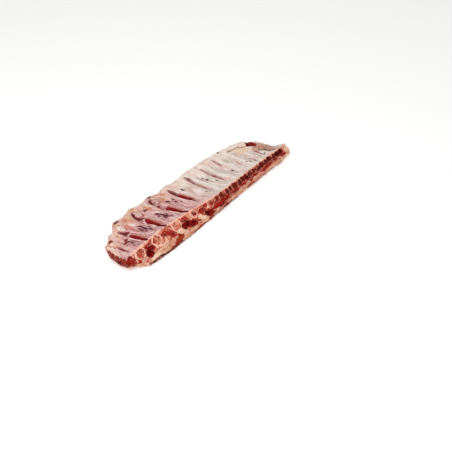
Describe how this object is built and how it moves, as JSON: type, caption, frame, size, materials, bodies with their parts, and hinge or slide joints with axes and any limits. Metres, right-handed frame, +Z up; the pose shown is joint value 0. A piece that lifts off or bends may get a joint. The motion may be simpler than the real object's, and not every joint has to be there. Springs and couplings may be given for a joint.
{
  "type": "frozen pork rib rack",
  "caption": "Whole raw rack of pork back ribs, frozen stiff, lying bone side up with its sawn chine edge and rib tips showing.",
  "frame": {"origin": "middle of the rack's bounding box at the level of the flat underside that it rests on", "axes": "+X along the sawn chine edge from the loin end to the shoulder end, +Y across the rack from the chine to the rib tips, +Z up out of the bone side"},
  "size_m": [0.4324, 0.1172, 0.0306],
  "materials": {
    "meat": "moist membrane over lean meat, slightly glossy",
    "fat": "firm cold fat, satin",
    "bone": "sawn bone with red marrow pores, matte"
  },
  "bodies": {
    "root": {"meat": "meat", "fat_cap": "fat", "rib_01": "bone", "rib_02": "bone", "rib_03": "bone", "rib_04": "bone", "rib_05": "bone", "rib_06": "bone", "rib_07": "bone", "rib_08": "bone", "rib_09": "bone", "rib_10": "bone", "rib_11": "bone"}
  },
  "joints": []
}
